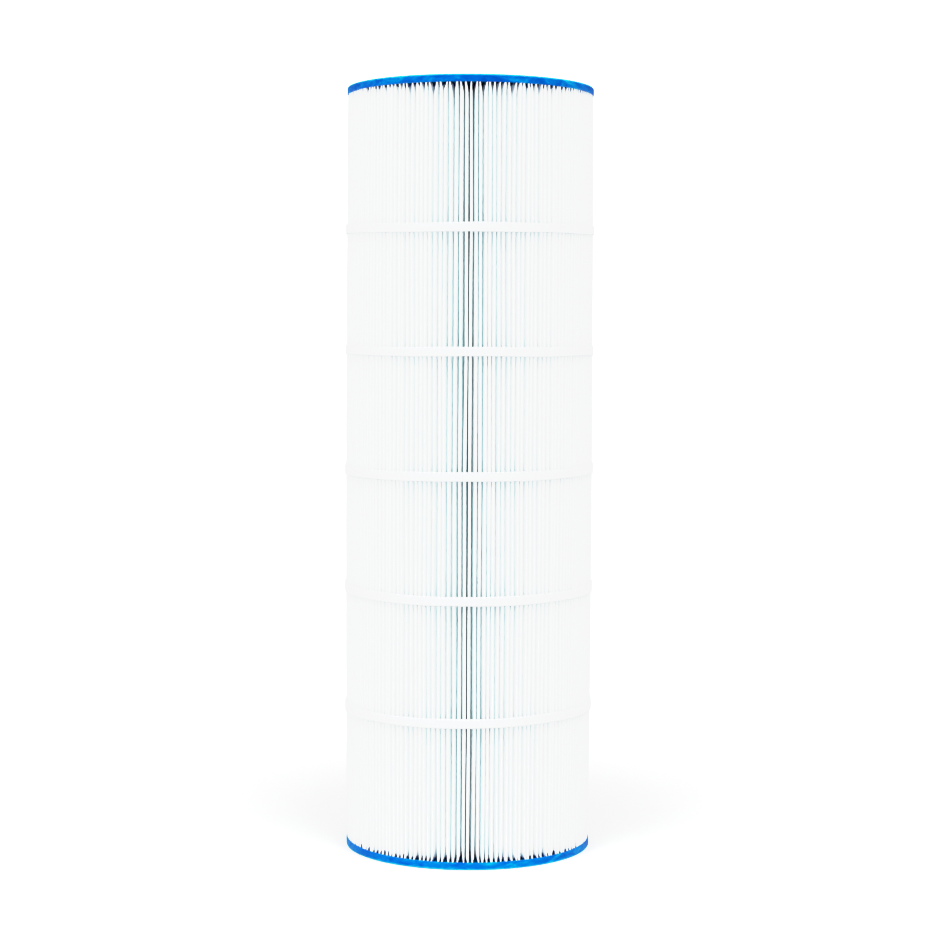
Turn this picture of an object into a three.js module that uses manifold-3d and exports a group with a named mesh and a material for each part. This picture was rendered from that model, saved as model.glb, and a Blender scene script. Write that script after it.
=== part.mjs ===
// A pleated filter cartridge for a pool or spa filter, open at both ends.
// One long sheet of polyester is folded into pleats around a perforated core. Five straps hold the
// pleats, and a soft cap is cast onto each end, with a round opening for the filter's manifold.
// Millimetres, +Z up along the cartridge's axis, origin at the middle of the bottom face.
import * as THREE from "three";
import { mergeVertices } from "three/addons/utils/BufferGeometryUtils.js";
import Module from "manifold-3d";

// ---------- driving dimensions ----------
const HEIGHT = 550; // overall, from one cap's face to the other's
const CAP_RADIUS = 89; // 7 inch cartridge
const BORE_RADIUS = 38.1; // 3 inch opening in each cap
const CAP_HEIGHT = 5.5; // visible rim of each cap
const GAP = 0.3; // clearance between pieces that touch

const PLEATS = 160;
const MEDIA_THICKNESS = 0.5;

const BANDS = 5;
const BAND_PITCH = 86;
const BAND_HEIGHT = 6.5;
const BAND_THICKNESS = 1;

const CORE_SECTIONS = ["lower", "middle", "upper"];
const CORE_WALL = 2.8;
const CORE_SEGMENTS = 24; // flat facets around the core

// ---------- values worked out from them ----------
const CAP_FLOOR = 3; // thickness of the cap under the pleats
const CAP_WALL = 1; // rim around the ends of the pleats
const COLLAR_WALL = 2; // sleeve inside the core's ends
const COLLAR_HEIGHT = 10.5;
const GROOVE_RADIUS = CAP_RADIUS - CAP_WALL;
const COLLAR_RADIUS = BORE_RADIUS + COLLAR_WALL;
const CORE_INNER = (COLLAR_RADIUS + GAP) / Math.cos(Math.PI / CORE_SEGMENTS); // its facets clear the collar
const CORE_OUTER = CORE_INNER + CORE_WALL;
const PLEAT_INNER = CORE_OUTER + GAP;
const PLEAT_OUTER = GROOVE_RADIUS - GAP;
const INSERT_BOTTOM = CAP_FLOOR + GAP; // where the core and the pleats stand in the bottom cap
const INSERT_HEIGHT = HEIGHT - 2 * INSERT_BOTTOM;

const blueUrethane = new THREE.MeshStandardMaterial({ color: 0x0a74e6, roughness: 0.38, metalness: 0 });
const whitePolyester = new THREE.MeshStandardMaterial({ color: 0xf4f6f7, roughness: 0.85, metalness: 0 });
const whiteStrap = new THREE.MeshStandardMaterial({ color: 0xfbfcfc, roughness: 0.6, metalness: 0 });
const paleCore = new THREE.MeshStandardMaterial({ color: 0xdfe6e6, roughness: 0.5, metalness: 0 });
const clearGlue = new THREE.MeshStandardMaterial({ color: 0xe9e4d2, roughness: 0.4, metalness: 0 });

const cartridge = new THREE.Group();
cartridge.name = "filter_cartridge";

function addMesh(name, geometry, material) {
  const mesh = new THREE.Mesh(geometry, material);
  mesh.name = name;
  cartridge.add(mesh);
  return mesh;
}

// ---------- helpers ----------
// A ring turned about Z. The profile's points are [radius, z], counter-clockwise, and it closes on itself.
function turned(profile, segments) {
  const points = [...profile, profile[0]].map(([radius, z]) => new THREE.Vector2(radius, z));
  return new THREE.LatheGeometry(points, segments).rotateX(Math.PI / 2);
}

// A flat outline raised along Z.
function raised(outline, height) {
  const shape = new THREE.Shape(outline);
  return new THREE.ExtrudeGeometry(shape, { depth: height, bevelEnabled: false, curveSegments: 1 });
}

function polar(radius, angle) {
  return new THREE.Vector2(radius * Math.cos(angle), radius * Math.sin(angle));
}

// A point at a radius, then stepped sideways: how each fold of a pleat is laid out.
function besideRadius(angle, radius, sideways) {
  const along = polar(radius, angle);
  const across = polar(sideways, angle + Math.PI / 2);
  return along.add(across);
}

// ---------- end caps ----------
const CAP_SEGMENTS = 60;
const SEAL_RING_OUTER = 47; // flat ring that the manifold seals on
const RIM_RING_INNER = 80; // flat ring under the pleat tips
const FACE_RECESS = 1.2;
const CAP_EDGE = 0.9; // chamfer around the cap
const BORE_EDGE = 1; // chamfer around the opening

function endCap() {
  return turned(
    [
      [BORE_RADIUS, BORE_EDGE],
      [BORE_RADIUS + BORE_EDGE, 0],
      [SEAL_RING_OUTER, 0],
      [SEAL_RING_OUTER + FACE_RECESS, FACE_RECESS],
      [RIM_RING_INNER - FACE_RECESS, FACE_RECESS],
      [RIM_RING_INNER, 0],
      [CAP_RADIUS - CAP_EDGE, 0],
      [CAP_RADIUS, CAP_EDGE],
      [CAP_RADIUS, CAP_HEIGHT - CAP_EDGE],
      [CAP_RADIUS - CAP_WALL / 2, CAP_HEIGHT],
      [GROOVE_RADIUS, CAP_HEIGHT],
      [GROOVE_RADIUS, CAP_FLOOR],
      [COLLAR_RADIUS, CAP_FLOOR],
      [COLLAR_RADIUS, COLLAR_HEIGHT],
      [BORE_RADIUS, COLLAR_HEIGHT],
    ],
    CAP_SEGMENTS,
  );
}

addMesh("end_cap_bottom", endCap(), blueUrethane);
const topCap = addMesh("end_cap_top", endCap(), blueUrethane);
topCap.rotation.x = Math.PI; // the same casting, turned over
topCap.position.z = HEIGHT;

// ---------- pleated media ----------
// The sheet is one open strip: its two ends meet in the seam pleat, at the back of the cartridge.
const HALF_SHEET = MEDIA_THICKNESS / 2;
const LEG_AT_CORE = 0.48; // sideways distance of a pleat's legs from its middle, at the core
const LEG_AT_TIP = 0.8; // and at its tip
const TIP_ROUNDING = 0.5;
const SEAM_ANGLE = Math.PI / 2;
const SEAM_LEG = 0.95;
const SEAM_INNER = 60; // radius from which the seam's legs run side by side
const SEAM_TIP_CLEARANCE = 1; // the glue stops this far short of the seam's tip
const pleatStep = (2 * Math.PI) / PLEATS;

// The face that looks outwards, over one whole pleat: up one leg, over the tip and down the other.
function outsideOfPleat(angle) {
  const legAtTip = LEG_AT_TIP + HALF_SHEET;
  return [
    polar(PLEAT_INNER + MEDIA_THICKNESS, angle - pleatStep / 2),
    besideRadius(angle, PLEAT_OUTER - TIP_ROUNDING, -legAtTip),
    besideRadius(angle, PLEAT_OUTER, -legAtTip + TIP_ROUNDING),
    besideRadius(angle, PLEAT_OUTER, legAtTip - TIP_ROUNDING),
    besideRadius(angle, PLEAT_OUTER - TIP_ROUNDING, legAtTip),
  ];
}

// The face that looks at the core, over the same pleat.
function insideOfPleat(angle) {
  const legAtTip = LEG_AT_TIP - HALF_SHEET;
  const legAtCore = LEG_AT_CORE - HALF_SHEET;
  return [
    besideRadius(angle, PLEAT_INNER, -legAtCore),
    besideRadius(angle, PLEAT_OUTER - MEDIA_THICKNESS, -legAtTip),
    besideRadius(angle, PLEAT_OUTER - MEDIA_THICKNESS, legAtTip),
    besideRadius(angle, PLEAT_INNER, legAtCore),
  ];
}

// Half of the seam pleat: one end of the sheet, which runs out to the tip and stops there.
// side is -1 where the strip comes up to the seam and 1 where it starts again behind it.
function seamLeg(side) {
  const outside = [
    polar(PLEAT_INNER + MEDIA_THICKNESS, SEAM_ANGLE + (side * pleatStep) / 2),
    besideRadius(SEAM_ANGLE, SEAM_INNER, side * (SEAM_LEG + HALF_SHEET)),
    besideRadius(SEAM_ANGLE, PLEAT_OUTER, side * (SEAM_LEG + HALF_SHEET)),
  ];
  const inside = [
    besideRadius(SEAM_ANGLE, PLEAT_INNER, side * (LEG_AT_CORE - HALF_SHEET)),
    besideRadius(SEAM_ANGLE, SEAM_INNER, side * (SEAM_LEG - HALF_SHEET)),
    besideRadius(SEAM_ANGLE, PLEAT_OUTER, side * (SEAM_LEG - HALF_SHEET)),
  ];
  return { outside, inside };
}

function mediaOutline() {
  const start = seamLeg(1);
  const finish = seamLeg(-1);
  const outside = [...start.outside].reverse();
  const inside = [...start.inside].reverse();
  for (let pleat = 1; pleat < PLEATS; pleat += 1) {
    const angle = SEAM_ANGLE + pleat * pleatStep;
    const face = outsideOfPleat(angle);
    outside.push(...(pleat === 1 ? face.slice(1) : face));
    inside.push(...insideOfPleat(angle));
  }
  outside.push(...finish.outside);
  inside.push(...finish.inside);
  return [...outside, ...inside.reverse()];
}

const media = addMesh("pleated_media", raised(mediaOutline(), INSERT_HEIGHT), whitePolyester);
media.position.z = INSERT_BOTTOM;

// The bead of hot glue that joins the sheet's two ends.
const SEAM_STRIP_THICKNESS = 2 * (SEAM_LEG - HALF_SHEET - GAP);
const seamDepth = PLEAT_OUTER - SEAM_TIP_CLEARANCE - SEAM_INNER;
const seamStrip = addMesh(
  "media_seam_strip",
  new THREE.BoxGeometry(SEAM_STRIP_THICKNESS, seamDepth, INSERT_HEIGHT),
  clearGlue,
);
seamStrip.position.set(0, SEAM_INNER + seamDepth / 2, HEIGHT / 2);

// ---------- bands ----------
// Each strap goes once around the pleats and laps over its own end, glued down at the back.
const BAND_SEGMENTS = 60;
const LAP_STEPS = 2; // segments of the ring where the strap lies double
const SEAM_SEGMENT = BAND_SEGMENTS / 4;

function bandGeometry(lapStart) {
  const step = (2 * Math.PI) / BAND_SEGMENTS;
  const lapEnd = lapStart + LAP_STEPS;
  const single = GROOVE_RADIUS + BAND_THICKNESS;
  const double = single + BAND_THICKNESS;
  const outline = [];
  const hole = [];
  for (let i = 0; i < BAND_SEGMENTS; i += 1) {
    const angle = i * step;
    if (i === lapStart) {
      outline.push(polar(single, angle), polar(double, angle));
    } else if (i === lapEnd) {
      outline.push(polar(double, angle), polar(single, angle));
    } else {
      outline.push(polar(i > lapStart && i < lapEnd ? double : single, angle));
    }
    hole.push(polar(GROOVE_RADIUS, -angle));
  }
  const shape = new THREE.Shape(outline);
  shape.holes.push(new THREE.Path(hole));
  return new THREE.ExtrudeGeometry(shape, { depth: BAND_HEIGHT, bevelEnabled: false, curveSegments: 1 });
}

for (let i = 0; i < BANDS; i += 1) {
  const lapStart = SEAM_SEGMENT - (i % 2) * LAP_STEPS; // on either side of the seam, in turn
  const band = addMesh(`band_${i + 1}`, bandGeometry(lapStart), whiteStrap);
  band.position.z = HEIGHT / 2 + (i - (BANDS - 1) / 2) * BAND_PITCH - BAND_HEIGHT / 2;
}

// ---------- core ----------
// Three moulded lattice sections, each with a thin spigot on top that enters the socket of the next.
const WINDOW_FACETS = 2; // width of a window, in the core's flat facets
const RIB_FACETS = 1; // width of the rib beside it
const CORE_COLUMNS = CORE_SEGMENTS / (WINDOW_FACETS + RIB_FACETS);
const CORE_ROWS = 5; // windows along one section
const CUTTER_MARGIN = 2; // how far a window's cutter reaches past the wall
const JOINT_LENGTH = 6;
const END_RING = 9;
const RIB_RING = 5;
const CAP_RING = COLLAR_HEIGHT - CAP_FLOOR + RIB_RING; // closed end that the cap's collar fills
const sectionLength = (INSERT_HEIGHT - (CORE_SECTIONS.length - 1) * GAP) / CORE_SECTIONS.length;

const wasm = await Module();
wasm.setup();

function toSolid(geometry) {
  const bare = geometry.clone();
  bare.deleteAttribute("normal");
  bare.deleteAttribute("uv");
  const merged = mergeVertices(bare, 1e-3);
  return new wasm.Manifold(
    new wasm.Mesh({
      numProp: 3,
      vertProperties: new Float32Array(merged.attributes.position.array),
      triVerts: new Uint32Array(merged.index.array),
    }),
  );
}

function toGeometry(solid) {
  const mesh = solid.getMesh();
  const geometry = new THREE.BufferGeometry();
  geometry.setAttribute("position", new THREE.BufferAttribute(mesh.vertProperties, 3));
  geometry.setIndex(new THREE.BufferAttribute(mesh.triVerts, 1));
  return geometry;
}

// The section's wall before its windows are cut: spigot above, socket below, where it has them.
function coreWall(hasSocket, hasSpigot) {
  const middle = (CORE_INNER + CORE_OUTER) / 2;
  const bottom = hasSocket ? [[middle + GAP / 2, 0]] : [[CORE_INNER, 0]];
  const socketEnd = hasSocket
    ? [
        [CORE_INNER, JOINT_LENGTH],
        [middle + GAP / 2, JOINT_LENGTH],
      ]
    : [];
  const top = hasSpigot
    ? [
        [CORE_OUTER, sectionLength],
        [middle - GAP / 2, sectionLength],
        [middle - GAP / 2, sectionLength + JOINT_LENGTH - GAP],
        [CORE_INNER, sectionLength + JOINT_LENGTH - GAP],
      ]
    : [
        [CORE_OUTER, sectionLength],
        [CORE_INNER, sectionLength],
      ];
  const profile = [...socketEnd, ...bottom, [CORE_OUTER, 0], ...top];
  return turned(profile, CORE_SEGMENTS);
}

// One window's cutter: a wedge that passes through the wall.
function windowCutter(column, low, high) {
  const facet = (2 * Math.PI) / CORE_SEGMENTS;
  const start = column * (WINDOW_FACETS + RIB_FACETS) * facet;
  const outer = [];
  const inner = [];
  for (let i = 0; i <= WINDOW_FACETS; i += 1) {
    const angle = start + i * facet;
    outer.push(polar(CORE_OUTER + CUTTER_MARGIN, angle));
    inner.unshift(polar(CORE_INNER - CUTTER_MARGIN, angle));
  }
  return toSolid(raised([...outer, ...inner], high - low).translate(0, 0, low));
}

function coreSection(hasSocket, hasSpigot) {
  const firstRow = hasSocket ? END_RING : CAP_RING;
  const lastRow = sectionLength - (hasSpigot ? END_RING : CAP_RING);
  const pitch = (lastRow - firstRow + RIB_RING) / CORE_ROWS;
  let solid = toSolid(coreWall(hasSocket, hasSpigot));
  for (let row = 0; row < CORE_ROWS; row += 1) {
    const low = firstRow + row * pitch;
    for (let column = 0; column < CORE_COLUMNS; column += 1) {
      solid = solid.subtract(windowCutter(column, low, low + pitch - RIB_RING));
    }
  }
  return toGeometry(solid);
}

CORE_SECTIONS.forEach((place, i) => {
  const hasSocket = i > 0;
  const hasSpigot = i < CORE_SECTIONS.length - 1;
  const section = addMesh(`core_section_${place}`, coreSection(hasSocket, hasSpigot), paleCore);
  section.position.z = INSERT_BOTTOM + i * (sectionLength + GAP);
});

export default cartridge;
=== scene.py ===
# How a pleated pool filter cartridge looks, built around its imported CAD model.
# Metres, in the model's frame: +Z up along the cartridge's axis, the viewer at -Y, the media's seam at +Y.
import math

import bpy
import numpy as np
from mathutils import Matrix, Vector


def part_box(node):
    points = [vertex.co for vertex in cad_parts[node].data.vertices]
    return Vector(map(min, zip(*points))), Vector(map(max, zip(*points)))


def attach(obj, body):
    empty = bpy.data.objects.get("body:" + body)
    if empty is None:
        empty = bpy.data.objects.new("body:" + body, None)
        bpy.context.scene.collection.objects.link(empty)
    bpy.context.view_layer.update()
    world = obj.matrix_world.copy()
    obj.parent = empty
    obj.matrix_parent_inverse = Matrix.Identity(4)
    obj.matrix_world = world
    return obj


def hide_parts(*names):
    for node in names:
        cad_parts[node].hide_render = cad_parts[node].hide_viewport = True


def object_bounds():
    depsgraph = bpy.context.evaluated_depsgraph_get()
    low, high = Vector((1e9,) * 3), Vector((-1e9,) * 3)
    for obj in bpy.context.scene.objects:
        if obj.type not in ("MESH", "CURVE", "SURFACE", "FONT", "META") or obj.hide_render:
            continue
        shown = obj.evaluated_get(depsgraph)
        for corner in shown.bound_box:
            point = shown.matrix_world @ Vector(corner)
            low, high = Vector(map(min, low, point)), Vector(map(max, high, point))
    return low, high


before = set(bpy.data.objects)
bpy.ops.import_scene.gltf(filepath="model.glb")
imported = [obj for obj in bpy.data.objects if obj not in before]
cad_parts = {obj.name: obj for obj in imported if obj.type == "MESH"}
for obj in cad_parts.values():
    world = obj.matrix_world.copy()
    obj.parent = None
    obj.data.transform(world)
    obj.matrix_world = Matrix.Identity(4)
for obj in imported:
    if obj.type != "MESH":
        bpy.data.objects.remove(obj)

CAD_LOW, CAD_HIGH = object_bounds()
MM = 0.001
TAU = math.tau

# ---------- sizes, from the frame ----------
BANDS = [f"band_{number}" for number in range(1, 6)]
CORE_SECTIONS = ["core_section_lower", "core_section_middle", "core_section_upper"]
BAND_BOXES = [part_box(band) for band in BANDS]
MEDIA_LOW, MEDIA_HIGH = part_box("pleated_media")
STRIP_LOW, STRIP_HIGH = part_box("media_seam_strip")
CAP_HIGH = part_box("end_cap_bottom")[1]
CAP_RADIUS = CAP_HIGH.x
COLLAR_TOP = CAP_HIGH.z
HEIGHT = CAD_HIGH.z
BAND_HEIGHTS = [(low.z + high.z) / 2 for low, high in BAND_BOXES]
BAND_HALVES = [(high.z - low.z) / 2 for low, high in BAND_BOXES]

# ---------- sizes that the boxes don't show, as in the CAD ----------
PLEATS = 160
SEAM_ANGLE = TAU / 4
SHEET_THICKNESS = 0.5 * MM
BORE_RADIUS = 38.1 * MM
CAP_RIM = 5.5 * MM  # the height of a cap's rim
CAP_EDGE = 1.0 * MM  # the caps' edges are chamfered in the CAD, and rounded here
FACE_RECESS = 1.2 * MM
SEAL_RING_OUTER = 47 * MM
RIM_RING_INNER = 80 * MM
COLLAR_RADIUS = 40.1 * MM  # the sleeve inside the core's ends, 2 mm thick
CORE_INNER = 40.75 * MM
CORE_OUTER = 43.55 * MM

# ---------- the camera, as in the photo ----------
LENS_MM = 80.9
SENSOR_MM = 36
CAMERA_DISTANCE = 17.49 * CAP_RADIUS
CAMERA_HEIGHT = 4.056 * CAP_RADIUS
CAMERA_PITCH = math.radians(3.32)
CAMERA_YAW = math.radians(0.16)
CAMERA_ROLL = math.radians(0.27)

# ---------- the studio ----------
ROOM_LIGHT = 0.7
BACKDROP_LIGHT = 3.0
OVERHEAD_LIGHT = 5.7
OVERHEAD_WIDTH = 45  # degrees
OVERHEAD_TILT = 18  # degrees from straight above, towards the viewer
# (name, degrees round from the viewer's side towards +X, watts)
SOFTBOXES = [("left_softbox", -40, 4.5), ("right_softbox", 40, 0.5)]
SOFTBOX_ELEVATION = 8  # degrees
SOFTBOX_DISTANCE = 1.8
SOFTBOX_SIZE = (1.0, 1.4)
FLOOR_RADIUS = 12.0
FLOOR_SIDES = 96
WHITE_FOLD_BOUNCES = 24  # light goes to and fro many times between the white pleats
# (light, how bright it is shown): deep shadows, and whites that come close to each other
FILM_CURVE = [
    (0, 0),
    (0.45, 0.24),
    (0.8, 0.6),
    (1.05, 0.82),
    (1.2, 0.88),
    (1.35, 0.908),
    (1.7, 0.931),
    (1.9, 0.95),
    (2.1, 1),
]

# ---------- finishes ----------
# Each pair holds the darkest and the lightest colour of a surface, which a noise runs between.
GRAIN_STOPS = (0.3, 0.7)
WEB_COLOURS = [(0.885, 0.928, 0.932), (0.93, 0.953, 0.957)]
THIN_WEB_COLOURS = [(0.9, 0.94, 0.945), (0.94, 0.963, 0.968)]
# urethane crept into the sheet near the caps, painted much darker than the caps' blue as painted shade
# deep in the gaps between the pleats
SOAKED_AND_SHADED_COLOURS = [(0.0, 0.03, 0.16), (0.0, 0.07, 0.28)]
STRAP_COLOURS = [(0.82, 0.85, 0.87), (0.88, 0.9, 0.915)]
# painted shadow: the grey on a strap's lower edge stands in for the shade it casts on the pleats below
STRAP_EDGE_SHADE_COLOURS = [(0.36, 0.38, 0.40), (0.48, 0.50, 0.52)]
# painted highlight: the paler cyan along each cap's rounded outer edge
EDGE_HIGHLIGHT_COLOURS = [(0.0, 0.42, 0.66), (0.03, 0.60, 0.78)]
CORE_COLOURS = [(0.43, 0.71, 0.69), (0.51, 0.78, 0.76)]
GLUE_COLOURS = [(0.68, 0.64, 0.50), (0.80, 0.77, 0.66)]
FLOOR_COLOURS = [(0.93, 0.93, 0.93), (0.95, 0.95, 0.95)]
FLOW_STOPS = (0.3, 0.48, 0.62, 0.75)
# The two caps were cast from different batches of the same blue, darkest shade first.
TOP_BATCH = [(0.0, 0.09, 0.38), (0.0, 0.15, 0.45), (0.0, 0.27, 0.52), (0.0, 0.42, 0.58)]
BOTTOM_BATCH = [(0.0, 0.11, 0.40), (0.0, 0.18, 0.46), (0.0, 0.27, 0.52), (0.0, 0.40, 0.58)]
BLUE_GLOSS = (0.0, 0.45, 1.0)
EDGE_HIGHLIGHT_REACH = (1.5 * MM, 0.5 * MM)  # how far in from a cap's outer edge its painted highlight starts, and is full
MOTTLED_RIM = (4 * MM, 1 * MM)  # the same for its mottling
SOAK_LINE = (-2.4 * MM, 5.6 * MM)  # how far above a cap's rim the urethane soaks into the sheet
SOAK_FADE = 0.8 * MM
SOAK_DEPTH = (0.6 * MM, 1.1 * MM)  # behind the pleats' tips, which stay white
LOWER_EDGE_SHADE = "lower_edge_shade"  # a strap's mesh attribute: 1 on its lower edge, where a shadow is painted

rng = np.random.default_rng(seed=7)


# ---------- mesh helpers ----------
def make_piece(name, points, faces, material, smooth=True):
    """One mesh object from a list of points and a list of faces."""
    mesh = bpy.data.meshes.new(name)
    mesh.from_pydata([tuple(point) for point in points], [], [tuple(face) for face in faces])
    mesh.validate()
    mesh.materials.append(material)
    if smooth:
        mesh.shade_smooth()
    else:
        mesh.shade_flat()
    piece = bpy.data.objects.new(name, mesh)
    bpy.context.scene.collection.objects.link(piece)
    return piece


def place(piece, slot, *nodes):
    """Rides the piece on the cartridge, in place of its CAD nodes; the slot is not used."""
    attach(piece, "root")
    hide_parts(*nodes)


def grid_faces(rows, columns, close_rows=False, close_columns=False):
    """Four-sided faces over a grid of points that is stored row by row."""
    row_count = rows if close_rows else rows - 1
    column_count = columns if close_columns else columns - 1
    row, column = np.meshgrid(np.arange(row_count), np.arange(column_count), indexing="ij")
    this_row, next_row = row * columns, (row + 1) % rows * columns
    next_column = (column + 1) % columns
    corners = [this_row + column, this_row + next_column, next_row + next_column, next_row + column]
    return np.stack([corner.ravel() for corner in corners], axis=1)


def bar_faces(rows, size):
    """Faces of a closed bar with that many points round its section: its sides, then its two ends."""
    faces = [tuple(face) for face in grid_faces(rows, size, close_columns=True)]
    faces.append(tuple(range(size))[::-1])
    faces.append(tuple(range((rows - 1) * size, rows * size)))
    return faces


def polar(radius, angle, height):
    """Points on a cylinder's surface; the three may be arrays that broadcast together."""
    radius, angle, height = np.broadcast_arrays(radius, angle, height)
    return np.stack([radius * np.cos(angle), radius * np.sin(angle), height], axis=-1)


def arc(centre, radius, start, end, steps):
    """Profile points (radius, height) round part of a circle; the angles are in degrees."""
    angles = np.radians(np.linspace(start, end, steps + 1))
    return [(centre[0] + radius * math.cos(a), centre[1] + radius * math.sin(a)) for a in angles]


# ---------- material helpers ----------
def new_material(name, roughness, specular):
    """A material with its shader, before any texture."""
    material = bpy.data.materials.new(name)
    material.use_nodes = True
    shader = material.node_tree.nodes["Principled BSDF"]
    shader.inputs["Roughness"].default_value = roughness
    shader.inputs["Specular IOR Level"].default_value = specular
    return material, shader


def connect(material, source, shader, name):
    """Leads a texture into one of the shader's sockets."""
    material.node_tree.links.new(source, shader.inputs[name])


def add_noise(material, scale, detail, stretch=(1, 1, 1), distortion=0.0):
    """A noise texture in the object's own metres, stretched along its axes."""
    nodes, links = material.node_tree.nodes, material.node_tree.links
    coordinates = nodes.new("ShaderNodeTexCoord")
    mapping = nodes.new("ShaderNodeMapping")
    mapping.inputs["Scale"].default_value = stretch
    noise = nodes.new("ShaderNodeTexNoise")
    noise.inputs["Scale"].default_value = scale
    noise.inputs["Detail"].default_value = detail
    noise.inputs["Roughness"].default_value = 0.6
    noise.inputs["Distortion"].default_value = distortion
    links.new(coordinates.outputs["Object"], mapping.inputs["Vector"])
    links.new(mapping.outputs["Vector"], noise.inputs["Vector"])
    return noise.outputs["Fac"]


def add_ramp(material, source, positions, colours):
    """Turns a grey value into the colours that stand at those positions."""
    ramp = material.node_tree.nodes.new("ShaderNodeValToRGB")
    elements = ramp.color_ramp.elements
    while len(elements) < len(positions):
        elements.new(0.5)
    for element, position, colour in zip(elements, positions, colours):
        element.position = position
        element.color = (*colour, 1)
    material.node_tree.links.new(source, ramp.inputs["Fac"])
    return ramp.outputs["Color"]


def add_blend(material, factor, first, second):
    """Two colours mixed by a grey value."""
    mix = material.node_tree.nodes.new("ShaderNodeMix")
    mix.data_type = "RGBA"
    links = material.node_tree.links
    links.new(factor, mix.inputs["Factor"])
    links.new(first, mix.inputs["A"])
    links.new(second, mix.inputs["B"])
    return mix.outputs["Result"]


def add_range(material, source, low, high):
    """A grey value stretched from 0..1 to low..high."""
    stretch = material.node_tree.nodes.new("ShaderNodeMapRange")
    stretch.inputs["To Min"].default_value = low
    stretch.inputs["To Max"].default_value = high
    material.node_tree.links.new(source, stretch.inputs["Value"])
    return stretch.outputs["Result"]


def add_fade(material, source, start, full):
    """0 up to the start value, rising to 1 at the full value."""
    fade = material.node_tree.nodes.new("ShaderNodeMapRange")
    fade.inputs["From Min"].default_value = start
    fade.inputs["From Max"].default_value = full
    material.node_tree.links.new(source, fade.inputs["Value"])
    return fade.outputs["Result"]


def add_math(material, operation, *sources):
    """A Math node over sockets or numbers."""
    node = material.node_tree.nodes.new("ShaderNodeMath")
    node.operation = operation
    for i, source in enumerate(sources):
        if isinstance(source, (int, float)):
            node.inputs[i].default_value = source
        else:
            material.node_tree.links.new(source, node.inputs[i])
    return node.outputs["Value"]


def add_place(material):
    """A point's distance from the cartridge's axis, and from the nearer of its end faces."""
    nodes, links = material.node_tree.nodes, material.node_tree.links
    coordinates = nodes.new("ShaderNodeTexCoord")
    split = nodes.new("ShaderNodeSeparateXYZ")
    links.new(coordinates.outputs["Object"], split.inputs["Vector"])
    x_squared = add_math(material, "POWER", split.outputs["X"], 2.0)
    y_squared = add_math(material, "POWER", split.outputs["Y"], 2.0)
    radius = add_math(material, "SQRT", add_math(material, "ADD", x_squared, y_squared))
    over_middle = add_math(material, "SUBTRACT", split.outputs["Z"], HEIGHT / 2)
    from_end = add_math(material, "SUBTRACT", HEIGHT / 2, add_math(material, "ABSOLUTE", over_middle))
    return radius, from_end


def add_bump(material, shader, source, height):
    """Relief from a grey value; the height is that of its whole range."""
    bump = material.node_tree.nodes.new("ShaderNodeBump")
    bump.inputs["Distance"].default_value = height
    bump.inputs["Strength"].default_value = 1.0
    material.node_tree.links.new(source, bump.inputs["Height"])
    connect(material, bump.outputs["Normal"], shader, "Normal")


# ---------- materials ----------
def add_soaked_and_shaded_mask(material):
    """1 where blue urethane has crept up the sheet from a cap, behind the pleats' white tips, and where it
    is painted dark as the shade deep in the gaps.
    """
    radius, from_end = add_place(material)
    creep = add_noise(material, scale=300, detail=1, stretch=(1, 1, 0.02))
    line = add_math(material, "ADD", add_range(material, creep, *SOAK_LINE), CAP_RIM)
    below_line = add_fade(material, add_math(material, "SUBTRACT", line, from_end), 0.0, SOAK_FADE)
    behind_tip = add_fade(material, add_math(material, "SUBTRACT", TIP_RADIUS_CAP, radius), *SOAK_DEPTH)
    return add_math(material, "MULTIPLY", below_line, behind_tip)


def media_material():
    """White spun-bonded polyester: a fine random web of fibres, with urethane wicked into it by the caps
    and painted dark navy there as shade in the gaps.
    """
    material, shader = new_material("filter_media", roughness=0.9, specular=0.2)
    fibres = add_noise(material, scale=1600, detail=5, distortion=1.5)
    cloud = add_noise(material, scale=60, detail=2)
    web = add_ramp(material, fibres, GRAIN_STOPS, WEB_COLOURS)
    thin = add_ramp(material, fibres, GRAIN_STOPS, THIN_WEB_COLOURS)
    soaked_and_shaded = add_ramp(material, fibres, GRAIN_STOPS, SOAKED_AND_SHADED_COLOURS)
    white = add_blend(material, cloud, web, thin)
    # urethane creep near the caps, painted dark as shade in the gaps
    colour = add_blend(material, add_soaked_and_shaded_mask(material), white, soaked_and_shaded)
    connect(material, colour, shader, "Base Color")
    add_bump(material, shader, fibres, height=0.12 * MM)
    return material


def strap_material():
    """White polyester strap, pressed flat and stiffened with glue."""
    material, shader = new_material("strap", roughness=0.6, specular=0.3)
    weave = add_noise(material, scale=2400, detail=3, stretch=(1, 1, 0.35))
    clean = add_ramp(material, weave, GRAIN_STOPS, STRAP_COLOURS)
    # painted shadow on the strap's lower edge, standing in for the shade it casts on the pleats
    shaded_edge = add_ramp(material, weave, GRAIN_STOPS, STRAP_EDGE_SHADE_COLOURS)
    lower_edge_shade = material.node_tree.nodes.new("ShaderNodeAttribute")
    lower_edge_shade.attribute_name = LOWER_EDGE_SHADE
    colour = add_blend(material, lower_edge_shade.outputs["Fac"], clean, shaded_edge)
    connect(material, colour, shader, "Base Color")
    patches = add_noise(material, scale=150, detail=2)
    connect(material, add_range(material, patches, low=0.5, high=0.75), shader, "Roughness")
    add_bump(material, shader, weave, height=0.06 * MM)
    return material


def add_edge_highlight_mask(material, highlight_noise):
    """Up to 1 on the rounded outer edge of either end face, where a highlight is painted, uneven along the
    edge.
    """
    radius, from_end = add_place(material)
    start, full = EDGE_HIGHLIGHT_REACH
    outer = add_fade(material, radius, CAP_RADIUS - start, CAP_RADIUS - full)
    end = add_fade(material, from_end, start, full)
    edge = add_math(material, "MULTIPLY", outer, end)
    return add_math(material, "MULTIPLY", edge, add_range(material, highlight_noise, low=0.5, high=1.2))


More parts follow.
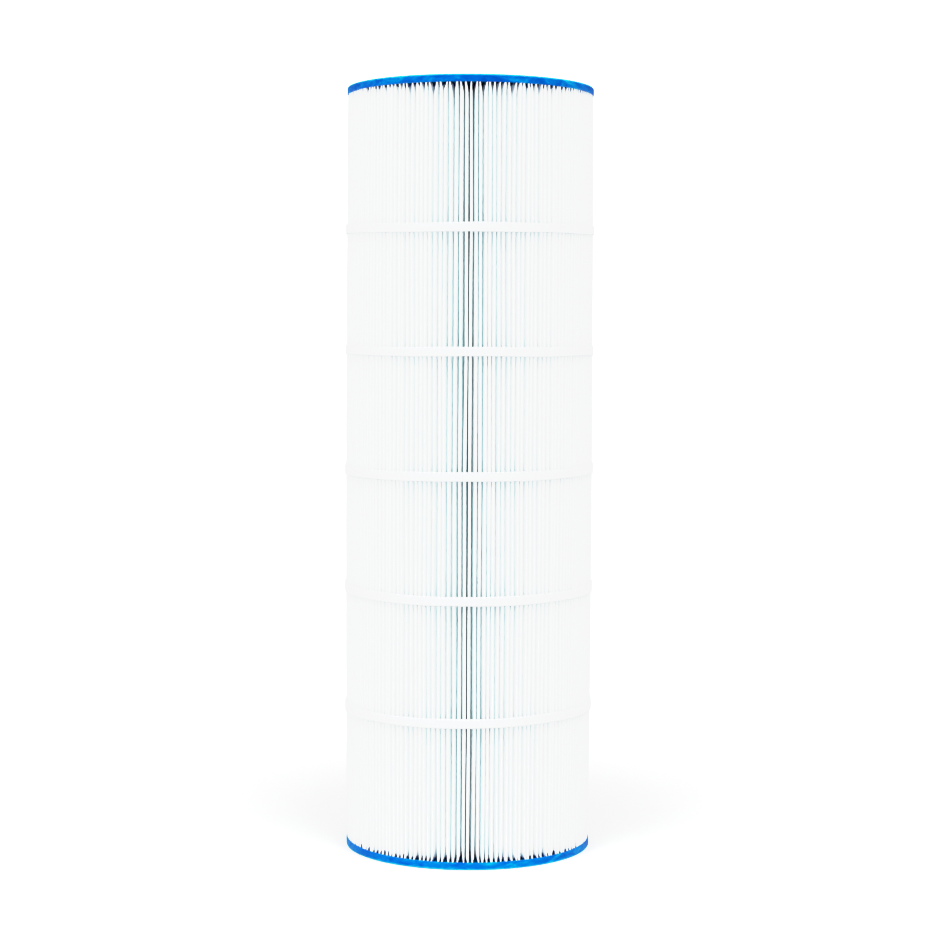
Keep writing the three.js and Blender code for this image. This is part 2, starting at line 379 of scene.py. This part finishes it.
def urethane_material(name, shades):
    """Blue cast polyurethane: satin, mottled on its rim where it flowed, with a painted highlight, paler
    and cyan, on its edge.
    """
    material, shader = new_material(name, roughness=0.4, specular=0.03)
    shader.inputs["Specular Tint"].default_value = (*BLUE_GLOSS, 1)
    flow = add_noise(material, scale=62, detail=4, stretch=(1, 1, 2.5), distortion=1.2)
    mottled = add_ramp(material, flow, FLOW_STOPS, shades)
    calm = add_ramp(material, flow, (FLOW_STOPS[0], FLOW_STOPS[-1]), shades[1:3])
    radius, _ = add_place(material)
    rim = add_fade(material, radius, *(CAP_RADIUS - inwards for inwards in MOTTLED_RIM))
    body = add_blend(material, rim, calm, mottled)
    # a painted highlight along the rounded outer edge of each end face
    highlight_noise = add_noise(material, scale=260, detail=3)
    edge_highlight = add_ramp(material, highlight_noise, GRAIN_STOPS, EDGE_HIGHLIGHT_COLOURS)
    colour = add_blend(material, add_edge_highlight_mask(material, highlight_noise), body, edge_highlight)
    connect(material, colour, shader, "Base Color")
    patches = add_noise(material, scale=220, detail=3)
    connect(material, add_range(material, patches, low=0.35, high=0.55), shader, "Roughness")
    add_bump(material, shader, add_noise(material, scale=900, detail=2), height=0.05 * MM)
    return material


def core_material():
    """Pale moulded polypropylene."""
    material, shader = new_material("core_plastic", roughness=0.45, specular=0.4)
    cloud = add_noise(material, scale=40, detail=3)
    connect(material, add_ramp(material, cloud, GRAIN_STOPS, CORE_COLOURS), shader, "Base Color")
    add_bump(material, shader, add_noise(material, scale=1200, detail=2), height=0.03 * MM)
    return material


def glue_material():
    """Cloudy hot-melt glue."""
    material, shader = new_material("seam_glue", roughness=0.35, specular=0.5)
    cloud = add_noise(material, scale=180, detail=3)
    connect(material, add_ramp(material, cloud, GRAIN_STOPS, GLUE_COLOURS), shader, "Base Color")
    add_bump(material, shader, cloud, height=0.2 * MM)
    return material


def floor_material():
    """Matt white paint."""
    material, shader = new_material("floor_paint", roughness=0.9, specular=0.1)
    cloud = add_noise(material, scale=3, detail=2)
    connect(material, add_ramp(material, cloud, GRAIN_STOPS, FLOOR_COLOURS), shader, "Base Color")
    return material


# ---------- how the pleats stand ----------
# Each pleat's tip is held at the caps and at every strap, and runs almost straight from one to the next.
PITCH_ANGLE = TAU / PLEATS
VALLEY_RADIUS = CORE_OUTER + 0.55 * MM
TIP_RADIUS_CAP = 88.25 * MM  # just inside the cap's rim
TIP_RADIUS_MID = 89.15 * MM  # just proud of it
TIP_BULGE = 0.15 * MM  # how far the tips stand out midway between two straps
HALF_VALLEY = 0.48 * MM  # from a pleat's middle to the middle of the sheet, at the core
HALF_TIP = 0.76 * MM  # and at its tip
HALF_TIP_LEAST = 0.32 * MM
HALF_TIP_VARIES = 0.09  # as a share of it
LEAST_GAP = 0.1 * MM
BILLOW = 0.05  # how much wider a tip is midway between two straps, as a share of its width
PINCH = (0.46 * MM, 0.52 * MM)  # how much narrower half a tip is where the bottom and top caps grip it
PINCH_VARIES = 0.45  # as a share of it
PINCH_HEIGHT = (3 * MM, 9 * MM)  # how far from the cap's rim a tip has its full width again
SLOW_WAVES = (5, 7, 9, 12, 16)  # waves round the cartridge in which neighbouring pleats lean together
SPREAD_ROUNDS = 80

HOLDS = np.array([CAP_RIM, *BAND_HEIGHTS, HEIGHT - CAP_RIM])
# The tips stand a little further out at the middle of the cartridge than at its caps.
OUTWARD = np.sin(math.pi * HOLDS / HEIGHT) ** 0.5
HELD_RADIUS = TIP_RADIUS_CAP + (TIP_RADIUS_MID - TIP_RADIUS_CAP) * OUTWARD


def around(wave, jitter):
    """One value for each pleat: a slow wave round the cartridge and a jitter of its own."""
    angle = np.arange(PLEATS) * PITCH_ANGLE
    slow = sum(np.sin(n * angle + rng.uniform(0, TAU)) for n in SLOW_WAVES)
    own = np.clip(rng.standard_normal(PLEATS), -2, 2)
    return wave * slow / math.sqrt(len(SLOW_WAVES)) + jitter * own


# Each pleat's sideways shift and half width where it is held, and how the two caps grip it.
COMMON_SHIFT = around(0.42 * MM, 0.28 * MM)
HELD_SHIFT = np.array([COMMON_SHIFT + around(0.22 * MM, 0.14 * MM) for _ in HOLDS])
HELD_HALF = np.array([HALF_TIP * (1 + around(0, HALF_TIP_VARIES)) for _ in HOLDS])
PINCH_SHIFT = np.array([around(0, 0.6 * MM) for _ in PINCH])
PINCH_DEPTH = np.array([pinch * (1 + around(0, PINCH_VARIES)) for pinch in PINCH])
PINCH_REACH = rng.uniform(*PINCH_HEIGHT, (len(PINCH), PLEATS))


def spread_apart(shift, half_tip, radius):
    """Moves tips that would touch their neighbours apart again."""
    outer = half_tip + SHEET_THICKNESS / 2
    for _ in range(SPREAD_ROUNDS):
        gap = radius * PITCH_ANGLE + np.roll(shift, -1) - shift - outer - np.roll(outer, -1)
        push = np.minimum(gap - LEAST_GAP, 0) / 2
        shift = shift + push - np.roll(push, 1)
    return shift


def tips_at(height):
    """Each pleat's sideways shift, half width and tip radius at a height."""
    height = min(max(height, HOLDS[0]), HOLDS[-1])
    upper = int(np.clip(np.searchsorted(HOLDS, height), 1, len(HOLDS) - 1))
    lower = upper - 1
    share = (height - HOLDS[lower]) / (HOLDS[upper] - HOLDS[lower])
    free = math.sin(math.pi * share)  # 0 where the tips are held, and 1 midway
    shift = HELD_SHIFT[lower] * (1 - share) + HELD_SHIFT[upper] * share
    half = (HELD_HALF[lower] * (1 - share) + HELD_HALF[upper] * share) * (1 + BILLOW * free)
    radius = HELD_RADIUS[lower] * (1 - share) + HELD_RADIUS[upper] * share + TIP_BULGE * free
    for end, from_cap in enumerate((height - HOLDS[0], HOLDS[-1] - height)):
        grip = np.clip(1 - from_cap / PINCH_REACH[end], 0, 1)
        shift = shift + PINCH_SHIFT[end] * grip
        half = half - PINCH_DEPTH[end] * grip
    half = np.maximum(half, HALF_TIP_LEAST)
    return spread_apart(shift, half, radius), half, radius


# ---------- media ----------
# A pleat's rounded tip, from its leg to its top: (depth below the tip, share of the half width).
TIP_SECTION = [(2.6 * MM, 1.0), (0.95 * MM, 0.94), (0.22 * MM, 0.52)]
SEAM_TIP_DEPTH = 0.9  # how deep the tips of the sheet's two ends are, as a share of the others' depth
SEAM_CLEARANCE = 0.1 * MM  # from the glue between them
ROWS_BY_CAP = (0, 1.3, 2.7, 4.3, 6.5, 11)  # millimetres above the rim
ROWS_BETWEEN = 3  # from one strap to the next
BAND_MARGIN = 1 * MM


def pleat_points(angle, height, sideways, radius):
    """Points beside the middle planes of the pleats at those angles."""
    x = radius * np.cos(angle) - sideways * np.sin(angle)
    y = radius * np.sin(angle) + sideways * np.cos(angle)
    return np.stack([x, y, np.full(len(angle), height)], axis=-1)


def sheet_row(height):
    """The folded sheet's points at one height, from the seam round to the seam again."""
    shift, half, tip_radius = tips_at(height)
    angle = SEAM_ANGLE + np.arange(PLEATS) * PITCH_ANGLE

    def leg(side):
        """One side of every pleat, from its valley out to its tip."""
        valley = pleat_points(angle, height, side * HALF_VALLEY, VALLEY_RADIUS)
        tip = [
            pleat_points(angle, height, shift + side * share * half, tip_radius - depth)
            for depth, share in TIP_SECTION
        ]
        return [valley, *tip]

    by_pleat = np.stack([*leg(-1), *leg(1)[::-1]], axis=1)
    # The first pleat is cut open at its tip, where the seam is: its two legs are the sheet's two ends.
    finish, start = (part.copy() for part in np.split(by_pleat[0], 2))
    seam_half = STRIP_HIGH.x + SHEET_THICKNESS / 2 + SEAM_CLEARANCE
    for k, (depth, _) in enumerate(TIP_SECTION[::-1]):
        radius = tip_radius - depth * SEAM_TIP_DEPTH
        start[k] = pleat_points(angle[:1], height, seam_half, radius)[0]
        finish[-1 - k] = pleat_points(angle[:1], height, -seam_half, radius)[0]
    return np.concatenate([start, by_pleat[1:].reshape(-1, 3), finish])


def sheet_heights():
    """Rows close together at the caps and at the straps' edges, and far apart between them."""
    by_cap = [MEDIA_LOW.z, *(CAP_RIM + step * MM for step in ROWS_BY_CAP)]
    by_top_cap = [HEIGHT - height for height in by_cap[::-1]]
    heights = list(by_cap)
    for height, half_width in zip(BAND_HEIGHTS, BAND_HALVES):
        below_band = height - half_width - BAND_MARGIN
        heights.extend(np.linspace(heights[-1], below_band, ROWS_BETWEEN + 1)[1:])
        heights.append(height + half_width + BAND_MARGIN)
    heights.extend(np.linspace(heights[-1], by_top_cap[0], ROWS_BETWEEN + 1)[1:])
    return heights + by_top_cap[1:]


def make_media(material):
    """The whole folded sheet, as one piece."""
    points = np.stack([sheet_row(height) for height in sheet_heights()])
    rows, columns = points.shape[:2]
    piece = make_piece("pleated_media_sheet", points.reshape(-1, 3), grid_faces(rows, columns), material)
    solid = piece.modifiers.new("thickness", "SOLIDIFY")
    solid.thickness = SHEET_THICKNESS
    solid.offset = 0
    place(piece, "filter_media", "pleated_media")


# ---------- end caps ----------
CAP_COLUMNS = PLEATS * 6
COLLAR_EDGE = 0.5 * MM
POTTING_LEVEL = 3.5 * MM  # the cast urethane between the pleats
POTTING_RISE = 1.1 * MM  # how far it climbs their sides
POTTING_FILLET = 0.5 * MM  # how far from their sides it starts to climb
POTTING_RINGS = [radius * MM for radius in (87.6, 87.0, 86.0, 83.5, 79, 70, 58, 47)]


def potting_heights(radius, angle):
    """How high the urethane stands between the pleats, at each angle on a circle of that radius."""
    shift, half, tip_radius = tips_at(CAP_RIM)
    along = (angle - SEAM_ANGLE) / PITCH_ANGLE
    nearest = np.round(along)
    pleat = nearest.astype(int) % PLEATS
    out = (radius - VALLEY_RADIUS) / (tip_radius - VALLEY_RADIUS)
    leg = HALF_VALLEY + (half[pleat] - HALF_VALLEY) * out
    sideways = (along - nearest) * PITCH_ANGLE * radius - shift[pleat] * out
    distance = np.abs(np.abs(sideways) - leg)
    return POTTING_LEVEL + POTTING_RISE * np.exp(-distance / POTTING_FILLET)


def face_profile():
    """The end face as (radius, height), from the bore outwards and over the rim's top."""
    r = CAP_EDGE
    outline = arc((BORE_RADIUS + r, r), r, 180, 270, 4)
    outline += arc((SEAL_RING_OUTER - r, r), r, 270, 315, 2)
    outline += arc((SEAL_RING_OUTER + r, FACE_RECESS - r), r, 135, 90, 2)
    outline += [((SEAL_RING_OUTER + RIM_RING_INNER) / 2, FACE_RECESS)]
    outline += arc((RIM_RING_INNER - r, FACE_RECESS - r), r, 90, 45, 2)
    outline += arc((RIM_RING_INNER + r, r), r, 225, 270, 2)
    outline += arc((CAP_RADIUS - r, r), r, 270, 360, 5)
    outline += arc((CAP_RADIUS - r, CAP_RIM - r), r, 0, 80, 4)
    return outline


def collar_profile():
    """The collar inside the core as (radius, height), from its foot outside over into the bore."""
    r = COLLAR_EDGE
    outline = [(CORE_INNER, POTTING_LEVEL)]
    outline += arc((COLLAR_RADIUS - r, COLLAR_TOP - r), r, 0, 90, 3)
    outline += arc((BORE_RADIUS + r, COLLAR_TOP - r), r, 90, 180, 3)
    return outline


def make_cap(name, node, material, turned_over):
    """One cast cap: its end face and rim, the urethane between the pleats, and its collar."""
    angle = np.linspace(0, TAU, CAP_COLUMNS, endpoint=False)
    rows = [polar(radius, angle, height) for radius, height in face_profile()]
    rows += [polar(radius, angle, potting_heights(radius, angle)) for radius in POTTING_RINGS]
    rows += [polar(radius, angle, height) for radius, height in collar_profile()]
    points = np.stack(rows)
    faces = grid_faces(len(rows), CAP_COLUMNS, close_rows=True, close_columns=True)
    if turned_over:
        points[..., 2] = HEIGHT - points[..., 2]
    else:
        faces = faces[:, ::-1]
    piece = make_piece(name, points.reshape(-1, 3), faces, material)
    place(piece, "cap_urethane", node)


# ---------- straps ----------
STRAP_THICKNESS = 0.9 * MM
STRAP_COLUMNS_PER_PLEAT = 4
STRAP_LAP = math.radians(12)
STRAP_CLIMB = math.radians(9)  # the end of its first turn, where it climbs onto its own start
LAP_STARTS = (6, -12)  # degrees from the seam, by turns
STRAP_SAG = 0.12 * MM  # between two pleat tips
STRAP_CLEARANCE = 0.06 * MM
STRAP_WAVE = 0.12 * MM
STRAP_WAVES = (2, 3, 5, 8)
STRAP_WIDTH_VARIES = 0.03  # as a share of it
STRAP_WIDTH_WAVES = 7
STRAP_EDGE = 0.18 * MM
STRAP_FLAT = STRAP_EDGE + 0.4 * MM  # from here on its face is flat
# Its section, round from the inner face's lower edge:
# (share of the half width, height over the inner face, step in from the edge, painted shadow)
STRAP_SECTION = [
    (-1, 0, STRAP_EDGE, 1),
    (-1, STRAP_EDGE, 0, 1),
    (-1, STRAP_THICKNESS - STRAP_EDGE, 0, 1),
    (-1, STRAP_THICKNESS, STRAP_EDGE, 0.8),
    (-1, STRAP_THICKNESS, STRAP_FLAT, 0),
    (1, STRAP_THICKNESS, STRAP_FLAT, 0),
    (1, STRAP_THICKNESS, STRAP_EDGE, 0),
    (1, STRAP_THICKNESS - STRAP_EDGE, 0, 0),
    (1, STRAP_EDGE, 0, 0),
    (1, 0, STRAP_EDGE, 0),
]
# How each strap lies, as the hand that glued it left it, lowest first, in millimetres:
# (height over its CAD place, rise towards +X, rise towards the viewer)
STRAP_LIE = [(0.7, 0.9, -0.8), (1.3, 0.3, -2.2), (1.2, 0.7, -2), (0.7, 0, -1.2), (1.4, 0, -2.6)]


def strap_radius(tip_radius, angle, climb):
    """The inner face's radius: over the pleat tips, a little slack between them, and up over the lap."""
    pleat = (angle - SEAM_ANGLE) / PITCH_ANGLE
    sag = STRAP_SAG * (0.5 - 0.5 * np.cos(TAU * pleat)) * (1 - climb)
    sheet_top = tip_radius - TIP_SECTION[-1][0] + SHEET_THICKNESS / 2
    return sheet_top + STRAP_CLEARANCE - sag + climb * (STRAP_THICKNESS + STRAP_CLEARANCE)


def strap_heights(height, lie, angle):
    """The middle line's height round the cartridge, with the waves of a strap laid by hand."""
    wave = sum(rng.normal(0, STRAP_WAVE) * np.sin(n * angle + rng.uniform(0, TAU)) for n in STRAP_WAVES)
    raised, to_x, to_viewer = (part * MM for part in lie)
    return height + raised + to_x * np.cos(angle) - to_viewer * np.sin(angle) + wave


def make_strap(name, material, height, half_width, tip_radius, lie, lap_start):
    """One strap: once round the pleat tips, then over its own end."""
    travelled = np.arange(0, TAU + STRAP_LAP, PITCH_ANGLE / STRAP_COLUMNS_PER_PLEAT)
    angle = lap_start + travelled
    climb = np.clip((travelled - (TAU - STRAP_CLIMB)) / STRAP_CLIMB, 0, 1)
    climb = climb * climb * (3 - 2 * climb)
    inner = strap_radius(tip_radius, angle, climb)
    middle = strap_heights(height, lie, angle)
    width_wave = np.sin(STRAP_WIDTH_WAVES * angle + rng.uniform(0, TAU))
    half = half_width * (1 + STRAP_WIDTH_VARIES * width_wave)
    lines = [
        polar(inner + out, angle, middle + share * (half - step_in))
        for share, out, step_in, _ in STRAP_SECTION
    ]
    points = np.stack(lines, axis=1)
    rows, size = points.shape[:2]
    piece = make_piece(name + "_strap", points.reshape(-1, 3), bar_faces(rows, size), material)
    # how much painted shadow each point of the section takes
    edge_shade = np.tile([part[-1] for part in STRAP_SECTION], rows).astype(np.float32)
    piece.data.attributes.new(LOWER_EDGE_SHADE, "FLOAT", "POINT").data.foreach_set("value", edge_shade)
    place(piece, "strap", name)


def make_straps(material):
    """Every strap, the lowest first, with their laps to either side of the seam."""
    for i, name in enumerate(BANDS):
        lap_start = SEAM_ANGLE + math.radians(LAP_STARTS[i % len(LAP_STARTS)])
        height, half_width = BAND_HEIGHTS[i], BAND_HALVES[i]
        make_strap(name, material, height, half_width, HELD_RADIUS[i + 1], STRAP_LIE[i], lap_start)


# ---------- core ----------
CORE_STAVES = 8
STAVE_ANGLE = math.radians(15)
STAVE_COLUMNS = 3
WINDOW_ROWS = 5
SLOTS_ACROSS = 3  # in each window between two staves
SLOTS_UP = 3
SLOT_COLUMNS = 2
RIB = 1.3 * MM  # between the slots
RING = 5 * MM  # between the rows of windows
END_RING = 9 * MM
CAP_RING = 12.5 * MM
SOCKET_LENGTH = 6 * MM
SPIGOT_LENGTH = 5.7 * MM
SPIGOT_GAP = 0.15 * MM  # from the middle of the wall to the spigot's outside and to the socket's inside


def core_angles():
    """The lattice's lines round the core, and whether the strip after each one has slots."""
    lines, open_strip = [], []
    window_angle = TAU / CORE_STAVES - STAVE_ANGLE
    rib_angle = RIB / CORE_OUTER
    slot_angle = (window_angle - (SLOTS_ACROSS - 1) * rib_angle) / SLOTS_ACROSS
    for stave in range(CORE_STAVES):
        at = stave * TAU / CORE_STAVES
        for slot in range(SLOTS_ACROSS):
            for column in range(SLOT_COLUMNS):
                lines.append(at + column * slot_angle / SLOT_COLUMNS)
                open_strip.append(True)
            at += slot_angle
            if slot < SLOTS_ACROSS - 1:
                lines.append(at)
                open_strip.append(False)
                at += rib_angle
        for column in range(STAVE_COLUMNS):
            lines.append(at + column * STAVE_ANGLE / STAVE_COLUMNS)
            open_strip.append(False)
    return np.array(lines), open_strip


def core_rows(low, high, has_socket, has_spigot):
    """The lattice's rings: (height, inner radius, outer radius, whether the row above it has slots)."""
    middle = (CORE_INNER + CORE_OUTER) / 2
    rows = []
    if has_socket:
        rows.append((low, middle + SPIGOT_GAP, CORE_OUTER, False))
        rows.append((low + SOCKET_LENGTH, middle + SPIGOT_GAP, CORE_OUTER, False))
        rows.append((low + SOCKET_LENGTH, CORE_INNER, CORE_OUTER, False))
    else:
        rows.append((low, CORE_INNER, CORE_OUTER, False))
    first = low + (END_RING if has_socket else CAP_RING)
    last = high - (END_RING if has_spigot else CAP_RING)
    pitch = (last - first + RING) / WINDOW_ROWS
    slot_height = (pitch - RING - (SLOTS_UP - 1) * RIB) / SLOTS_UP
    for window in range(WINDOW_ROWS):
        at = first + window * pitch
        for _ in range(SLOTS_UP):
            rows.append((at, CORE_INNER, CORE_OUTER, True))
            rows.append((at + slot_height, CORE_INNER, CORE_OUTER, False))
            at += slot_height + RIB
    rows.append((high, CORE_INNER, CORE_OUTER, False))
    if has_spigot:
        rows.append((high, CORE_INNER, middle - SPIGOT_GAP, False))
        rows.append((high + SPIGOT_LENGTH, CORE_INNER, middle - SPIGOT_GAP, False))
    return rows


def lattice_faces(slotted_rows, slotted_columns):
    """Faces of a pierced tube: its inner and outer walls, and the sides of its slots and ends."""
    rows, columns = len(slotted_rows), len(slotted_columns)
    behind = rows * columns  # the outer wall's points follow the inner wall's

    def solid(row, column):
        return 0 <= row < rows - 1 and not (slotted_rows[row] and slotted_columns[column % columns])

    faces = []
    for row in range(rows - 1):
        for column in range(columns):
            if not solid(row, column):
                continue
            a, b = row * columns + column, row * columns + (column + 1) % columns
            c, d = b + columns, a + columns
            faces.append((b, a, d, c))
            faces.append((behind + a, behind + b, behind + c, behind + d))
            if not solid(row - 1, column):
                faces.append((a, b, behind + b, behind + a))
            if not solid(row + 1, column):
                faces.append((c, d, behind + d, behind + c))
            if not solid(row, column - 1):
                faces.append((d, a, behind + a, behind + d))
            if not solid(row, column + 1):
                faces.append((b, c, behind + c, behind + b))
    return faces


def make_core_section(node, material, has_socket, has_spigot):
    """One length of the core, which plugs into the next with its spigot."""
    low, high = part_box(node)
    top = high.z - (SPIGOT_LENGTH if has_spigot else 0)
    lines, open_strip = core_angles()
    rows = core_rows(low.z, top, has_socket, has_spigot)
    inner = [polar(inner_radius, lines, height) for height, inner_radius, _, _ in rows]
    outer = [polar(outer_radius, lines, height) for height, _, outer_radius, _ in rows]
    points = np.concatenate(inner + outer)
    faces = lattice_faces([row[-1] for row in rows], open_strip)
    piece = make_piece(node + "_lattice", points, faces, material, smooth=False)
    place(piece, "core_plastic", node)


def make_core(material):
    """The core's sections, the lowest first."""
    for i, node in enumerate(CORE_SECTIONS):
        make_core_section(node, material, has_socket=i > 0, has_spigot=i < len(CORE_SECTIONS) - 1)


# ---------- seam ----------
BEAD_ROWS = 120
BEAD_OOZE = 0.5 * MM
BEAD_EDGE = 0.5 * MM
BEAD_TOP = 0.6  # its flat top, as a share of its width
BEAD_WAVES = (310, 97)  # two waves along it, in radians to the metre


def make_seam(material):
    """The bead of glue between the sheet's two ends, uneven along its outer edge."""
    heights = np.linspace(STRIP_LOW.z, STRIP_HIGH.z, BEAD_ROWS)
    half = STRIP_HIGH.x
    wave = np.sin(heights * BEAD_WAVES[0]) * np.sin(heights * BEAD_WAVES[1] + 1)
    outer = STRIP_HIGH.y + BEAD_OOZE * (0.5 + 0.5 * wave)
    section = [
        (-half, STRIP_LOW.y),
        (half, STRIP_LOW.y),
        (half, outer - BEAD_EDGE),
        (half * BEAD_TOP, outer),
        (-half * BEAD_TOP, outer),
        (-half, outer - BEAD_EDGE),
    ]
    lines = [np.stack(np.broadcast_arrays(x, y, heights), axis=-1) for x, y in section]
    points = np.stack(lines, axis=1)
    faces = bar_faces(BEAD_ROWS, len(section))
    piece = make_piece("media_seam_bead", points.reshape(-1, 3), faces, material)
    place(piece, "seam_glue", "media_seam_strip")


# ---------- studio ----------
def make_camera():
    """The photo's camera: a long lens, far off and a little above the middle, looking slightly down."""
    data = bpy.data.cameras.new("camera")
    data.lens = LENS_MM
    data.sensor_width = SENSOR_MM
    camera = bpy.data.objects.new("camera", data)
    turn = Matrix.Rotation(-CAMERA_YAW, 4, "Z")
    tilt = Matrix.Rotation(TAU / 4 - CAMERA_PITCH, 4, "X")
    roll = Matrix.Rotation(CAMERA_ROLL, 4, "Z")
    spot = Matrix.Translation((0, -CAMERA_DISTANCE, CAMERA_HEIGHT))
    camera.matrix_world = spot @ turn @ tilt @ roll
    bpy.context.scene.collection.objects.link(camera)
    bpy.context.scene.camera = camera


def make_world():
    """White all round. The backdrop that the camera sees directly is shown brighter than the light it
    casts.
    """
    world = bpy.data.worlds.new("studio")
    world.use_nodes = True
    nodes, links = world.node_tree.nodes, world.node_tree.links
    room = nodes["Background"]
    backdrop = nodes.new("ShaderNodeBackground")
    for background, strength in ((room, ROOM_LIGHT), (backdrop, BACKDROP_LIGHT)):
        background.inputs["Color"].default_value = (1, 1, 1, 1)
        background.inputs["Strength"].default_value = strength
    path = nodes.new("ShaderNodeLightPath")
    choose = nodes.new("ShaderNodeMixShader")
    links.new(path.outputs["Is Camera Ray"], choose.inputs[0])
    links.new(room.outputs[0], choose.inputs[1])
    links.new(backdrop.outputs[0], choose.inputs[2])
    links.new(choose.outputs[0], nodes["World Output"].inputs["Surface"])
    bpy.context.scene.world = world


def make_floor(material):
    """A wide pale disc that the cartridge stands on."""
    rim = polar(FLOOR_RADIUS, np.linspace(0, TAU, FLOOR_SIDES, endpoint=False), 0.0)
    floor = make_piece("floor", rim, [tuple(range(FLOOR_SIDES))], material, smooth=False)


def make_overhead_light():
    """A very wide soft light that whitens the floor and shades under the straps."""
    data = bpy.data.lights.new("overhead", "SUN")
    data.energy = OVERHEAD_LIGHT
    data.angle = math.radians(OVERHEAD_WIDTH)
    light = bpy.data.objects.new("overhead", data)
    light.rotation_euler = (math.radians(OVERHEAD_TILT), 0, 0)
    bpy.context.scene.collection.objects.link(light)


def make_softbox(name, azimuth, watts):
    """A soft light aimed at the cartridge's middle; azimuth 0 is the viewer's side and 90 is +X."""
    data = bpy.data.lights.new(name, "AREA")
    data.shape = "RECTANGLE"
    data.size, data.size_y = SOFTBOX_SIZE
    data.energy = watts
    light = bpy.data.objects.new(name, data)
    a, e = math.radians(azimuth), math.radians(SOFTBOX_ELEVATION)
    away = Vector((math.sin(a) * math.cos(e), -math.cos(a) * math.cos(e), math.sin(e)))
    light.location = Vector((0, 0, HEIGHT / 2)) + away * SOFTBOX_DISTANCE
    light.rotation_euler = away.to_track_quat("Z", "Y").to_euler()
    bpy.context.scene.collection.objects.link(light)


def set_film_curve(view):
    """The camera's response: a toe that deepens the shadows, and a shoulder that holds the whites."""
    view.view_transform = "Standard"
    view.use_curve_mapping = True
    mapping = view.curve_mapping
    whitest = FILM_CURVE[-1][0]
    mapping.white_level = (whitest, whitest, whitest)
    all_channels = mapping.curves[3]
    for light, shown in FILM_CURVE[1:-1]:  # a new curve has its two ends already
        all_channels.points.new(light / whitest, shown)
    for point in all_channels.points:
        point.handle_type = "AUTO_CLAMPED"
    mapping.update()


def make_studio():
    """The camera, the lights, the floor, and how the picture is developed."""
    scene = bpy.context.scene
    set_film_curve(scene.view_settings)
    scene.cycles.max_bounces = WHITE_FOLD_BOUNCES
    scene.cycles.diffuse_bounces = WHITE_FOLD_BOUNCES
    make_camera()
    make_world()
    make_floor(floor_material())
    make_overhead_light()
    for name, azimuth, watts in SOFTBOXES:
        make_softbox(name, azimuth, watts)


# ---------- the cartridge ----------
make_studio()
make_media(media_material())
bottom_urethane = urethane_material("cap_urethane_bottom", BOTTOM_BATCH)
top_urethane = urethane_material("cap_urethane_top", TOP_BATCH)
make_cap("end_cap_bottom_cast", "end_cap_bottom", bottom_urethane, turned_over=False)
make_cap("end_cap_top_cast", "end_cap_top", top_urethane, turned_over=True)
make_straps(strap_material())
make_core(core_material())
make_seam(glue_material())
